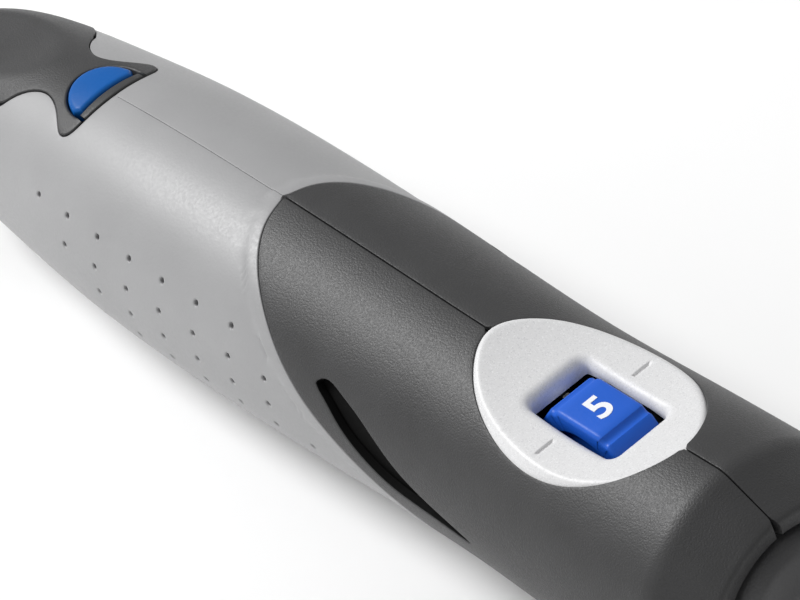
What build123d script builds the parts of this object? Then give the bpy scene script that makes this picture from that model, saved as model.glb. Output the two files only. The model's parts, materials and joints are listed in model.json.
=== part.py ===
"""Pen-style rotary hobby tool: split shell, rubber grips, speed dial, motor, spindle and collet.

The tool lies on its belly. +X points to the nose, +Y to the left and +Z up through the dial and the lock
button. Every length is in millimetres. A station is a distance from the tail rim, measured along the tool's
axis, and a height is measured from that axis, so most sketches are drawn on the planes SIDE, TOP and across(s).
"""

from build123d import *
import math
import os

# ---- driving dimensions -------------------------------------------------------------------------------------
TAIL_END = -5.2            # station of the tail cap's rear face
NUT_FRONT = 191.6          # station of the collet nut's front face
REST_HEIGHT = 16.15        # the belly is planed flat this far below the axis
RIM_X = -(TAIL_END + NUT_FRONT) / 2

GRIP_SKIN = 1.2            # rear overmould thickness
SEAT = 0.3                 # clearance around the lock button

# Silhouette of the body, station and radius, from the shoulder to the end of the front grip
BODY = [(8, 16.3), (24, 16.0), (42, 15.6), (62, 16.15), (82, 16.8), (100, 17.0),
        (119, 16.4), (133, 15.2), (147, 13.6), (157, 11.4), (163.5, 8.9)]
RIM_RADIUS = 12.4
TAIL_CREASE = (7.0, 16.15)  # the tail's cone meets the body here
# Inner face of the front grip: thick at the button, thin at the nose
GRIP_BED = [(118, 14.7), (133, 13.4), (147, 11.7), (157, 10.0), (163.5, 8.3)]

SCOOP_LOW = 13.0           # height of the dial bezel's face at the dial
SCOOP_RADIUS = 53.0
BEZEL_DEPTH = 2.6
BEZEL_PROUD = 0.25
WINDOW = (13.6, 8.7)       # length and width of the opening that the dial stands in
INDEX_STATION = 29.8       # the two engraved marks beside the dial
INDEX_MARK = (0.35, 3.4)   # width and length of a mark

DIAL_STATION = 28.7
DIAL_HEIGHT = 4.3
DIAL_RADIUS = 10.5
DIAL_WIDTH = 6.9
DIAL_FACETS = 7
DIAL_PIN = 1.5             # radius of the axle
DIGIT_PITCH = 2.9          # from one digit of a number to the next

BOARD_TOP_DEPTH = 8.4      # the control board's top face lies this far below the axis

LEADS_STATION = 47.6       # where the motor leads leave the board
BUTTON_STATION = 123.0     # straight rear edge of the half-moon button
BUTTON_LENGTH = 5.7
BUTTON_HALF_WIDTH = 4.9
BUTTON_TOP = 16.35
BUTTON_SKIRT = 10.2        # underside of the button, above the axis
BUTTON_CROWN = 16.0        # radius of the crowned top, across the tool
PIN_STATION = 125.8
PIN_RADIUS = 1.0
PIN_HOLE = 1.25            # radius of the two cross holes in the spindle's collar
COLLAR_RADIUS = 5.4
PIN_LOW = 5.9              # tip of the pin while the spindle is free
SPRING_LOW = 7.05

BRUSH_STATION = 61.5
DRIVE_PINS = 3.4           # pitch radius of the coupling's drive pins
DRIVE_PIN_RADIUS = 0.9
MOTOR_REAR, MOTOR_FRONT, MOTOR_RADIUS = 58.0, 98.0, 12.0
MOTOR_RIBS = [(61.0, 13.5), (79.0, 14.0), (94.0, 15.3)]     # station and outer radius of the ribs
RIB_WIDTH = 1.6
MOUNT_GAP = 0.8            # thickness of the rubber between motor and ribs
SHAFT_RADIUS = 1.15
BEARING_BORE, BEARING_OUTER, BEARING_WIDTH = 3.5, 6.5, 4.0
REAR_BEARING, FRONT_BEARING = 131.0, 157.0
RACE_RADIUS, GROOVE_RADIUS, BALL_RADIUS, BALLS = 5.0, 1.05, 0.98, 7
SPINDLE_END = 186.0
THREAD_RADIUS = 3.4
SHANK_RADIUS = 1.6         # collet bore, for a 3.2 mm shank

# Screw axes, station and height; the screws run across the tool and their heads are on the right
SCREWS = [(10.6, -10.4), (53.2, -10.4), (113.0, -10.8), (139.5, -7.6)]
SCREW_RADIUS, HEAD_RADIUS, BOSS_RADIUS = 1.1, 2.1, 2.6
BOSS_REACH = 6.0           # how far each boss stands out from the middle plane
HEAD_FACE = -4.5           # Y of the screw heads' seats

AXIS = Axis((RIM_X, 0, REST_HEIGHT), (1, 0, 0))
SIDE = Plane(origin=(RIM_X, 0, REST_HEIGHT), x_dir=(1, 0, 0), z_dir=(0, -1, 0))
TOP = Plane(origin=(RIM_X, 0, REST_HEIGHT), x_dir=(1, 0, 0), z_dir=(0, 0, 1))
MIDDLE = Plane(origin=(0, 0, 0), x_dir=(1, 0, 0), z_dir=(0, 1, 0))
LEFT, RIGHT = Keep.TOP, Keep.BOTTOM


def across(station):
    """Plane square to the axis, facing the nose: sketch x is Y and sketch y is the height."""
    return Plane(origin=(RIM_X + station, 0, REST_HEIGHT), x_dir=(0, 1, 0), z_dir=(1, 0, 0))


def point(station, y, height):
    """A place on the tool as a point of the model."""
    return (RIM_X + station, y, REST_HEIGHT + height)


def ring(start, end, outer, inner=0.0, mode=Mode.ADD):
    """Add a disc, or a ring if it has an inner radius, between two stations."""
    with BuildSketch(across(start)) as section:
        Circle(outer)
        if inner:
            Circle(inner, mode=Mode.SUBTRACT)
    extrude(section.sketch, amount=end - start, mode=mode)


def turned(*profile, mode=Mode.ADD):
    """Revolve a closed polygon of (station, radius) points about the tool's axis."""
    with BuildSketch(SIDE) as section:
        with BuildLine():
            Polyline(*profile, close=True)
        make_face()
    revolve(section.sketch, axis=AXIS, mode=mode)


def body_of_revolution(rim, points, end_radius=0.0, grow=0.0):
    """The solid inside a silhouette: a tail cone up to the shoulder, then a spline to the nose."""
    first, last = points[0], points[-1]
    with BuildPart() as solid:
        with BuildSketch(SIDE):
            with BuildLine():
                if rim:
                    crease = (TAIL_CREASE[0], TAIL_CREASE[1] + grow)
                    Polyline((0, end_radius), (0, rim + grow), crease, (first[0], first[1] + grow))
                else:
                    Line((first[0], end_radius), (first[0], first[1] + grow))
                Spline(*[(s, r + grow) for s, r in points])
                Polyline((last[0], last[1] + grow), (last[0], end_radius), (0 if rim else first[0], end_radius))
            make_face()
        revolve(axis=AXIS)
    return solid.part


def side_region(*lines):
    """A prism across the whole tool whose outline is drawn from the side by the given line makers."""
    with BuildPart() as prism:
        with BuildSketch(SIDE):
            with BuildLine():
                for make in lines:
                    make()
            make_face()
        extrude(amount=30, both=True)
    return prism.part


# ---- regions that several shells share ----------------------------------------------------------------------
# Front edge of the rear grip: high and forward on top, running down and back along each side
REAR_EDGE = [(85.3, 17.0), (77.4, 12.0), (67.4, 4.8), (60.0, 0.3), (53.6, -3.6), (45.5, -9.5), (39.0, -18.0)]
rear_region = side_region(
    lambda: Polyline((85.3, 17.0), (88.0, 20.0), (-10, 20.0), (-10, -20), (39.0, -20), (39.0, -18.0)),
    lambda: Spline(*REAR_EDGE))

# Rear edge of the front grip, seen from the side: a silver tongue reaches forward along each flank
FRONT_EDGE = [(134.5, 15.4), (138.0, 12.4), (146.5, 6.8), (150.5, 0.0), (146.0, -6.6), (134.0, -12.0),
              (124.0, -19.0)]
nose_region = side_region(
    lambda: Polyline((124.0, -19.0), (180, -19.0), (180, 20), (134.5, 20), (134.5, 15.4)),
    lambda: Spline(*FRONT_EDGE))

# The grip's tongue around the lock button: wide at its straight rear edge, with a narrow waist ahead
with BuildPart() as surround:
    with BuildSketch(TOP.offset(4.0)):
        with BuildLine():
            ThreePointArc((124.0, -7.9), (120.6, 0), (124.0, 7.9))
            Spline((124.0, 7.9), (127.1, 6.1), (132.0, 4.2), (135.4, 5.6), (139.0, 8.8))
            Line((139.0, 8.8), (139.0, -8.8))
            Spline((139.0, -8.8), (135.4, -5.6), (132.0, -4.2), (127.1, -6.1), (124.0, -7.9))
        make_face()
    extrude(amount=16)

# Pocket of the dial bezel: a teardrop seen from above, with its floor below the scooped face
with BuildPart() as bezel_pocket:
    with BuildSketch(TOP):
        with BuildLine():
            Spline((47.2, 0), (44.7, 5.0), (38.0, 9.3), (29.5, 10.8), (20.8, 8.9), (15.6, 4.6), (13.9, 0),
                   (15.6, -4.6), (20.8, -8.9), (29.5, -10.8), (38.0, -9.3), (44.7, -5.0), periodic=True)
        make_face()
    extrude(amount=20)
    with BuildSketch(SIDE):
        with Locations((DIAL_STATION, SCOOP_LOW + SCOOP_RADIUS)):
            Circle(SCOOP_RADIUS + BEZEL_DEPTH)
    extrude(amount=20, both=True, mode=Mode.INTERSECT)

with BuildPart() as vent_tool:
    with BuildSketch(SIDE):
        with BuildLine():
            Spline((65.6, 8.2), (60.4, 7.7), (53.8, 3.7), (46.8, 0.6), (39.0, -1.7))
            Spline((39.0, -1.7), (47.0, -1.3), (56.4, 1.4), (62.2, 5.3), (65.6, 8.2))
        make_face()
    extrude(amount=30, both=True)

with BuildPart() as button_well:
    with BuildSketch(TOP.offset(8.0)):
        with Locations((BUTTON_STATION, 0)):
            Ellipse(BUTTON_LENGTH + SEAT, BUTTON_HALF_WIDTH + SEAT)
        with Locations((BUTTON_STATION - SEAT, 0)):
            Rectangle(20, 20, align=(Align.MAX, Align.CENTER), mode=Mode.SUBTRACT)
    extrude(amount=12)

# A finger dish on top of the nose
with BuildPart() as finger_dish:
    with BuildSketch(SIDE):
        with BuildLine():
            ThreePointArc((136.5, 14.8), (148, 12.1), (160, 10.3))
            Polyline((160, 10.3), (160, 20), (136.5, 20), (136.5, 14.8))
        make_face()
    extrude(amount=20, both=True)

with BuildPart() as floor_cut:
    with BuildSketch(TOP.offset(-REST_HEIGHT)):
        Rectangle(500, 60)
    extrude(amount=-10)

with BuildPart() as screw_holes:
    for station, height in SCREWS:
        with BuildSketch(SIDE):
            with Locations((station, height)):
                Circle(SCREW_RADIUS)
        extrude(amount=BOSS_REACH + 0.5, both=True)
        with BuildSketch(SIDE.offset(-HEAD_FACE)):
            with Locations((station, height)):
                Circle(HEAD_RADIUS + 0.1)
        extrude(amount=20)

# ---- shells -------------------------------------------------------------------------------------------------
outer_body = body_of_revolution(RIM_RADIUS, BODY)
rear_bed = body_of_revolution(RIM_RADIUS, BODY, grow=-GRIP_SKIN)
front_bed = body_of_revolution(0, GRIP_BED)

# What each grip's bed takes out of the shell
with BuildPart() as rear_recess:
    add(rear_region)
    add(rear_bed, mode=Mode.SUBTRACT)

with BuildPart() as front_recess:
    add(nose_region)
    add(surround.part)
    add(front_bed, mode=Mode.SUBTRACT)

with BuildPart() as rear_skin:
    add(outer_body)
    add(rear_recess.part, mode=Mode.INTERSECT)
    add(bezel_pocket.part, mode=Mode.SUBTRACT)
    add(vent_tool.part, mode=Mode.SUBTRACT)
    add(floor_cut.part, mode=Mode.SUBTRACT)

with BuildPart() as front_cover:
    add(outer_body)
    add(front_recess.part, mode=Mode.INTERSECT)
    add(button_well.part, mode=Mode.SUBTRACT)
    add(finger_dish.part, mode=Mode.SUBTRACT)

with BuildPart() as cavity:
    turned((-1, 0), (-1, 10.6), (2.2, 10.6), (2.2, 11.6), (4.2, 11.6), (4.2, 10.0), (5.4, 10.0), (5.4, 12.0),
           (9.0, 13.2), (24, 12.9), (42, 12.5), (60, 13.0), (84, 13.8), (92, 14.9), (108, 14.9), (118, 13.3),
           (133, 11.8), (148, 9.6), (150, 9.2), (150, 7.6), (170, 7.6), (170, 0))

with BuildPart() as shell:
    add(outer_body)
    for tool in (rear_recess.part, front_recess.part, cavity.part):
        add(tool, mode=Mode.SUBTRACT)
    for station, radius in MOTOR_RIBS:
        ring(station, station + RIB_WIDTH, radius, MOTOR_RADIUS + MOUNT_GAP)
    ring(REAR_BEARING - 1.0, REAR_BEARING + BEARING_WIDTH, 12.4, BEARING_OUTER)
    ring(REAR_BEARING - 1.8, REAR_BEARING - 1.0, 12.4, BEARING_OUTER - 0.9)
    for station, height in SCREWS:
        with BuildSketch(SIDE):
            with Locations((station, height)):
                Circle(BOSS_RADIUS)
        extrude(amount=BOSS_REACH, both=True)
    for tool in (bezel_pocket.part, vent_tool.part, button_well.part, screw_holes.part, floor_cut.part):
        add(tool, mode=Mode.SUBTRACT)

with BuildPart() as housing_left:
    add(shell.part)
    split(bisect_by=MIDDLE, keep=LEFT)

with BuildPart() as housing_right:
    add(shell.part)
    split(bisect_by=MIDDLE, keep=RIGHT)

with BuildPart() as rear_grip_left:
    add(rear_skin.part)
    split(bisect_by=MIDDLE, keep=LEFT)

with BuildPart() as rear_grip_right:
    add(rear_skin.part)
    add(screw_holes.part, mode=Mode.SUBTRACT)
    split(bisect_by=MIDDLE, keep=RIGHT)

with BuildPart() as front_grip_left:
    add(front_cover.part)
    split(bisect_by=MIDDLE, keep=LEFT)

with BuildPart() as front_grip_right:
    add(front_cover.part)
    split(bisect_by=MIDDLE, keep=RIGHT)

# ---- tail ---------------------------------------------------------------------------------------------------
with BuildPart() as tail_cap:
    with BuildSketch(SIDE):
        with BuildLine():
            Polyline((TAIL_END + 0.4, 4.6), (TAIL_END, 5.0), (TAIL_END, 5.6))
            ThreePointArc((TAIL_END, 5.6), (-3.3, 8.5), (0.2, 9.4))
            Polyline((0.2, 9.4), (2.3, 9.4), (2.3, 11.4), (4.1, 11.4), (4.1, 4.1), (-0.4, 4.1), (-0.4, 4.6),
                     (TAIL_END + 0.4, 4.6))
        make_face()
    revolve(axis=AXIS)

with BuildPart() as dc_jack:
    ring(-0.4, 4.3, 4.0, 2.8)
    ring(4.3, 12.0, 4.8, 2.8)
    ring(12.0, 14.0, 4.8)

with BuildPart() as dc_jack_pin:
    ring(2.0, 12.0, 0.65)

# ---- dial ---------------------------------------------------------------------------------------------------
with BuildPart() as dial_bezel:
    add(bezel_pocket.part)
    add(body_of_revolution(RIM_RADIUS, BODY, grow=BEZEL_PROUD), mode=Mode.INTERSECT)
    with BuildSketch(SIDE):
        with Locations((DIAL_STATION, SCOOP_LOW + SCOOP_RADIUS)):
            Circle(SCOOP_RADIUS)
    extrude(amount=20, both=True, mode=Mode.SUBTRACT)
    with BuildSketch(TOP):
        with Locations((DIAL_STATION, 0)):
            RectangleRounded(*WINDOW, 1.0)
    extrude(amount=20, mode=Mode.SUBTRACT)
    with BuildSketch(SIDE):
        with Locations((DIAL_STATION, DIAL_HEIGHT)):
            Circle(DIAL_RADIUS + 0.6)
    extrude(amount=WINDOW[1] / 2, both=True, mode=Mode.SUBTRACT)
    for side in (1, -1):
        with BuildSketch(TOP.offset(SCOOP_LOW - 0.15)):
            with Locations((INDEX_STATION, side * 6.6)):
                Rectangle(*INDEX_MARK)
        extrude(amount=4, mode=Mode.SUBTRACT)

dial_centre = (DIAL_STATION, DIAL_HEIGHT)
facet_turn = 90 + 180 / DIAL_FACETS
with BuildPart() as speed_dial:
    with BuildSketch(SIDE):
        with Locations(dial_centre):
            RegularPolygon(DIAL_RADIUS, DIAL_FACETS, rotation=facet_turn)
            with PolarLocations(DIAL_RADIUS + 0.25, DIAL_FACETS, start_angle=facet_turn):
                Circle(0.95, mode=Mode.SUBTRACT)
            Circle(DIAL_PIN, mode=Mode.SUBTRACT)
    extrude(amount=DIAL_WIDTH / 2, both=True)
    sides = speed_dial.faces().filter_by(Axis.Y)
    chamfer(sides.edges().filter_by(GeomType.LINE), 0.55)

# Numbers are drawn with straight strokes on a 3 by 4.2 mm cell; each stroke is (x, y, width, height)
STROKES = {
    "top": (0, 1.75, 2.2, 0.7), "middle": (0, 0, 2.2, 0.7), "bottom": (0, -1.75, 2.2, 0.7),
    "upper_left": (-0.75, 0.9, 0.7, 2.4), "upper_right": (0.75, 0.9, 0.7, 2.4),
    "lower_left": (-0.75, -0.9, 0.7, 2.4), "lower_right": (0.75, -0.9, 0.7, 2.4)}
DIGITS = {
    "0": ("top", "bottom", "upper_left", "upper_right", "lower_left", "lower_right"),
    "1": ("upper_right", "lower_right"),
    "2": ("top", "upper_right", "middle", "lower_left", "bottom"),
    "5": ("top", "upper_left", "middle", "lower_right", "bottom")}
NUMBERS = ("5", "10", "15", "20", "22", "", "0")     # in thousands of turns a minute; one facet is blank
facet_height = DIAL_RADIUS * math.cos(math.pi / DIAL_FACETS)
with BuildPart() as dial_numbers:
    for facet, number in enumerate(NUMBERS):
        turn = Rotation(0, -360 / DIAL_FACETS * facet, 0)
        face = Location(point(DIAL_STATION, 0, DIAL_HEIGHT)) * turn * Location((0, 0, facet_height), (0, 0, -90))
        for k, digit in enumerate(number):
            with BuildSketch(Plane(face)):
                for stroke in DIGITS[digit]:
                    x, y, width, height = STROKES[stroke]
                    with Locations((x + (k - (len(number) - 1) / 2) * DIGIT_PITCH, y)):
                        Rectangle(width, height)
            extrude(amount=0.08)

with BuildPart() as dial_axle:
    with BuildSketch(SIDE):
        with Locations(dial_centre):
            Circle(DIAL_PIN - 0.05)
    extrude(amount=6.4, both=True)

with BuildPart() as dial_bracket:
    for side in (-1, 1):
        with BuildSketch(SIDE.offset(side * 4.6)):
            with Locations((DIAL_STATION, -BOARD_TOP_DEPTH)):
                Rectangle(9.0, 15.4, align=(Align.CENTER, Align.MIN))
            with Locations(dial_centre):
                Circle(DIAL_PIN + 0.05, mode=Mode.SUBTRACT)
        extrude(amount=side * 1.0)
    with BuildSketch(TOP.offset(-BOARD_TOP_DEPTH)):
        with Locations((DIAL_STATION, 0)):
            Rectangle(9.0, 11.2)
    extrude(amount=1.0)

with BuildPart() as speed_potentiometer:
    with BuildSketch(SIDE.offset(5.7)):
        with Locations(dial_centre):
            Circle(5.2)
            Circle(DIAL_PIN + 0.05, mode=Mode.SUBTRACT)
    extrude(amount=2.6)

# ---- electronics --------------------------------------------------------------------------------------------
with BuildPart() as control_board:
    with BuildSketch(TOP.offset(-BOARD_TOP_DEPTH)):
        with Locations((33.0, 0)):
            Rectangle(34.0, 15.0)
    extrude(amount=-1.2)

with BuildPart() as board_components:
    with BuildSketch(TOP.offset(-BOARD_TOP_DEPTH)):
        with Locations((42.4, 3.9)):
            Circle(2.5)
        with Locations((42.4, -3.9)):
            Rectangle(4.6, 5.0)
    extrude(amount=6.0)
    with BuildSketch(TOP.offset(-BOARD_TOP_DEPTH)):
        with Locations((LEADS_STATION, 0)):
            Rectangle(3.4, 13.0)
        with Locations((20.0, 0)):
            Rectangle(4.4, 6.0)
        with Locations((36.6, 0)):
            with GridLocations(3.0, 2.4, 2, 3):
                Rectangle(1.6, 0.9)
    extrude(amount=1.4)

with BuildPart() as power_leads:
    for y in (-5.6, 5.6):
        with BuildLine():
            route = FilletPolyline(point(LEADS_STATION, y, -BOARD_TOP_DEPTH + 1.4), point(LEADS_STATION, y, -1.5),
                                   point(51.5, y, 2.6), point(56.4, y, 2.6), radius=1.6)
        with BuildSketch(Plane(origin=route @ 0, z_dir=route % 0)):
            Circle(0.6)
        sweep(path=route)

# ---- motor --------------------------------------------------------------------------------------------------
with BuildPart() as motor_can:
    turned((MOTOR_REAR + 1.5, MOTOR_RADIUS - 0.9), (MOTOR_REAR + 1.5, MOTOR_RADIUS),
           (MOTOR_FRONT - 0.8, MOTOR_RADIUS), (MOTOR_FRONT, MOTOR_RADIUS - 0.8), (MOTOR_FRONT, 5.0),
           (MOTOR_FRONT + 2.2, 5.0), (MOTOR_FRONT + 2.2, 3.0), (MOTOR_FRONT - 1.0, 3.0),
           (MOTOR_FRONT - 1.0, MOTOR_RADIUS - 0.9))

with BuildPart() as motor_end_bell:
    turned((MOTOR_REAR - 0.6, 3.0), (MOTOR_REAR - 4.4, 3.0), (MOTOR_REAR - 4.4, 4.6), (MOTOR_REAR - 1.6, 4.6),
           (MOTOR_REAR - 1.6, MOTOR_RADIUS), (MOTOR_REAR + 1.5, MOTOR_RADIUS),
           (MOTOR_REAR + 1.5, MOTOR_RADIUS - 0.9), (MOTOR_REAR + 4.5, MOTOR_RADIUS - 0.9),
           (MOTOR_REAR + 4.5, MOTOR_RADIUS - 1.9), (MOTOR_REAR - 0.6, MOTOR_RADIUS - 1.9))

with BuildPart() as motor_magnets:
    ring(65.0, 94.0, MOTOR_RADIUS - 0.9, 9.2)
    with BuildSketch(across(60)):
        Rectangle(4.0, 40)
    extrude(amount=40, mode=Mode.SUBTRACT)

with BuildPart() as motor_mounts:
    for station, _ in MOTOR_RIBS:
        ring(station, station + RIB_WIDTH, MOTOR_RADIUS + MOUNT_GAP, MOTOR_RADIUS)

with BuildPart() as armature_core:
    with BuildSketch(across(69)):
        Circle(8.7)
        with PolarLocations(7.0, 5):
            Circle(1.7, mode=Mode.SUBTRACT)
            with Locations((1.4, 0)):
                Rectangle(2.4, 1.2, mode=Mode.SUBTRACT)
        Circle(SHAFT_RADIUS, mode=Mode.SUBTRACT)
    extrude(amount=20)

with BuildPart() as armature_windings:
    for start in (65.6, 89.0):
        with BuildSketch(across(start)):
            with PolarLocations(5.2, 5, start_angle=36):
                Ellipse(2.2, 2.6)
            Circle(5.0)
            Circle(2.4, mode=Mode.SUBTRACT)
        extrude(amount=3.4)

with BuildPart() as commutator:
    ring(59.2, 65.0, 2.8, SHAFT_RADIUS)
    with BuildSketch(across(59.2)):
        with PolarLocations(2.8, 5):
            Rectangle(0.9, 0.35)
    extrude(amount=4.4, mode=Mode.SUBTRACT)

with BuildPart() as brushes:
    for side in (1, -1):
        with BuildSketch(across(BRUSH_STATION)):
            with Locations((side * 4.6, 0)):
                Rectangle(3.2, 2.2)
        extrude(amount=1.3, both=True)

with BuildPart() as brush_springs:
    for side in (1, -1):
        coil = Helix(0.8, 2.8, 0.75, center=point(BRUSH_STATION, side * 6.45, 0), direction=(0, side, 0))
        with BuildSketch(Plane(origin=coil @ 0, z_dir=coil % 0)):
            Circle(0.2)
        sweep(path=coil, is_frenet=True)

with BuildPart() as motor_shaft:
    ring(54.2, 113.4, SHAFT_RADIUS)

with BuildPart() as rear_motor_bushing:
    ring(MOTOR_REAR - 4.4, MOTOR_REAR - 0.6, 3.0, SHAFT_RADIUS + 0.03)

with BuildPart() as front_motor_bushing:
    ring(MOTOR_FRONT - 1.0, MOTOR_FRONT + 2.2, 3.0, SHAFT_RADIUS + 0.03)

with BuildPart() as cooling_fan:
    ring(101.0, 107.4, 3.2, SHAFT_RADIUS)
    ring(106.4, 107.4, 11.0, 3.2)
    with BuildSketch(across(101.4)):
        with PolarLocations(7.0, 9, start_angle=20):
            Rectangle(8.0, 0.8, rotation=24)
    extrude(amount=5.0)

with BuildPart() as motor_coupling:
    ring(108.6, 113.4, 5.0, SHAFT_RADIUS)
    with BuildSketch(across(113.4)):
        with PolarLocations(DRIVE_PINS, 3):
            Circle(DRIVE_PIN_RADIUS)
    extrude(amount=1.8)

with BuildPart() as spindle_coupling:
    ring(115.6, 120.6, 5.0, 2.0)
    with BuildSketch(across(115.6)):
        with PolarLocations(DRIVE_PINS, 3, start_angle=60):
            Circle(DRIVE_PIN_RADIUS)
    extrude(amount=-1.8)

with BuildPart() as coupling_spider:
    with BuildSketch(across(113.4)):
        Circle(5.0)
        with PolarLocations(DRIVE_PINS, 6):
            Circle(DRIVE_PIN_RADIUS, mode=Mode.SUBTRACT)
        Circle(1.4, mode=Mode.SUBTRACT)
    extrude(amount=2.2)

# ---- spindle and bearings -----------------------------------------------------------------------------------
with BuildPart() as spindle:
    turned((115.8, 0), (115.8, 2.0), (121.4, 2.0), (121.4, COLLAR_RADIUS), (128.6, COLLAR_RADIUS), (128.6, 4.2),
           (REAR_BEARING, 4.2), (REAR_BEARING, BEARING_BORE), (175.0, BEARING_BORE), (175.0, THREAD_RADIUS),
           (SPINDLE_END - 0.4, THREAD_RADIUS), (SPINDLE_END, 3.1), (SPINDLE_END, 2.75), (177.0, 2.2),
           (170.0, 2.2), (170.0, 1.75), (150.0, 1.75), (149.0, 0))
    with BuildSketch(SIDE):
        with Locations((PIN_STATION, 0)):
            Circle(PIN_HOLE)
    extrude(amount=10, both=True, mode=Mode.SUBTRACT)
    with BuildSketch(TOP):
        with Locations((PIN_STATION, 0)):
            Circle(PIN_HOLE)
    extrude(amount=10, both=True, mode=Mode.SUBTRACT)


def bearing_race(start, outer, inner):
    """One race of a ball bearing: a ring with the balls' groove on its inner or outer face."""
    ring(start, start + BEARING_WIDTH, outer, inner)
    middle = Plane(origin=point(start + BEARING_WIDTH / 2, 0, 0), x_dir=(0, 1, 0), z_dir=(1, 0, 0))
    with Locations(Location(middle)):
        Torus(RACE_RADIUS, GROOVE_RADIUS, mode=Mode.SUBTRACT)


def bearing_balls(start):
    """The balls and the flat cage that spaces them."""
    middle = start + BEARING_WIDTH / 2
    for k in range(BALLS):
        angle = 2 * math.pi * k / BALLS
        with Locations(point(middle, RACE_RADIUS * math.cos(angle), RACE_RADIUS * math.sin(angle))):
            Sphere(BALL_RADIUS)
    ring(middle - 0.4, middle + 0.4, 5.3, 4.7)


with BuildPart() as rear_bearing_outer:
    bearing_race(REAR_BEARING, BEARING_OUTER, 5.6)

with BuildPart() as rear_bearing_inner:
    bearing_race(REAR_BEARING, 4.4, BEARING_BORE)

with BuildPart() as rear_bearing_balls:
    bearing_balls(REAR_BEARING)

with BuildPart() as front_bearing_outer:
    bearing_race(FRONT_BEARING, BEARING_OUTER, 5.6)

with BuildPart() as front_bearing_inner:
    bearing_race(FRONT_BEARING, 4.4, BEARING_BORE)

with BuildPart() as front_bearing_balls:
    bearing_balls(FRONT_BEARING)

with BuildPart() as bearing_retainer:
    ring(REAR_BEARING + BEARING_WIDTH, REAR_BEARING + BEARING_WIDTH + 1.2, 6.9, 4.9)

with BuildPart() as nose_sleeve:
    turned((150.2, 6.0), (150.2, 7.6), (169.0, 7.6), (169.0, 7.0), (FRONT_BEARING + BEARING_WIDTH, 7.0),
           (FRONT_BEARING + BEARING_WIDTH, BEARING_OUTER), (FRONT_BEARING, BEARING_OUTER), (FRONT_BEARING, 6.0))

with BuildPart() as dust_seal:
    ring(161.4, 163.0, 7.0, BEARING_BORE + 0.3)

with BuildPart() as nose_ring:
    turned((163.7, 7.6), (163.7, 8.6), (164.3, 8.9), (168.0, 8.7), (172.6, 7.6), (174.0, 6.6), (174.0, 5.3),
           (169.2, 5.3), (169.2, 7.6))

# ---- collet -------------------------------------------------------------------------------------------------
with BuildPart() as collet:
    turned((171.0, SHANK_RADIUS), (171.0, 2.1), (177.0, 2.1), (186.6, 2.65), (187.4, 2.65), (189.6, 1.95),
           (190.4, 1.95), (190.4, SHANK_RADIUS))
    for angle in (0, 90):
        with BuildSketch(across(176.0)):
            Rectangle(0.4, 12, rotation=angle + 45)
        extrude(amount=20, mode=Mode.SUBTRACT)

with BuildPart() as collet_nut:
    turned((175.4, THREAD_RADIUS + 0.1), (175.4, 4.6), (184.8, 4.6), (187.4, 4.3), (190.6, 3.2), (NUT_FRONT, 2.9),
           (NUT_FRONT, 2.2), (189.8, 2.2), (187.6, 2.85), (187.0, THREAD_RADIUS + 0.1))
    with BuildSketch(across(176.6)):
        Circle(6.0)
        RegularPolygon(4.62, 6, mode=Mode.SUBTRACT)
    extrude(amount=8.0, mode=Mode.SUBTRACT)

# ---- shaft lock ---------------------------------------------------------------------------------------------
with BuildPart() as lock_button:
    with BuildSketch(TOP.offset(BUTTON_SKIRT)):
        with Locations((BUTTON_STATION, 0)):
            Ellipse(BUTTON_LENGTH, BUTTON_HALF_WIDTH)
            Rectangle(20, 20, align=(Align.MAX, Align.CENTER), mode=Mode.SUBTRACT)
    extrude(amount=8)
    with BuildSketch(across(BUTTON_STATION - 1)):
        with Locations((0, BUTTON_TOP - BUTTON_CROWN)):
            Circle(BUTTON_CROWN)
    extrude(amount=12, mode=Mode.INTERSECT)
    with BuildSketch(TOP.offset(BUTTON_SKIRT - 1.2)):
        with Locations((BUTTON_STATION + 1.6, 0)):
            RectangleRounded(8.0, 10.6, 2.0)
    extrude(amount=1.2)
    with BuildSketch(TOP.offset(BUTTON_SKIRT - 1.2)):
        with Locations((PIN_STATION, 0)):
            Circle(2.3)
    extrude(amount=4.6, mode=Mode.SUBTRACT)

with BuildPart() as lock_pin:
    with BuildSketch(TOP.offset(PIN_LOW)):
        with Locations((PIN_STATION, 0)):
            Circle(PIN_RADIUS)
    extrude(amount=BUTTON_SKIRT + 3.4 - PIN_LOW)

with BuildPart() as pin_guide:
    with BuildSketch(TOP.offset(6.0)):
        with Locations((PIN_STATION, 0)):
            Rectangle(6.0, 20.2)
            Circle(PIN_RADIUS + 0.06, mode=Mode.SUBTRACT)
    extrude(amount=0.8)

with BuildPart() as lock_spring:
    coil = Helix(1.3, 6.3, 1.8, center=point(PIN_STATION, 0, SPRING_LOW))
    with BuildSketch(Plane(origin=coil @ 0, z_dir=coil % 0)):
        Circle(0.22)
    sweep(path=coil, is_frenet=True)

# ---- fasteners ----------------------------------------------------------------------------------------------
with BuildPart() as housing_screws:
    for station, height in SCREWS:
        with BuildSketch(SIDE.offset(-HEAD_FACE)):
            with Locations((station, height)):
                Circle(HEAD_RADIUS)
        extrude(amount=1.6)
        with BuildSketch(SIDE.offset(-HEAD_FACE + 0.8)):
            with Locations((station, height)):
                RegularPolygon(1.0, 6)
        extrude(amount=1.0, mode=Mode.SUBTRACT)
        with BuildSketch(SIDE.offset(-HEAD_FACE)):
            with Locations((station, height)):
                Circle(SCREW_RADIUS)
        extrude(amount=HEAD_FACE - BOSS_REACH)

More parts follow.
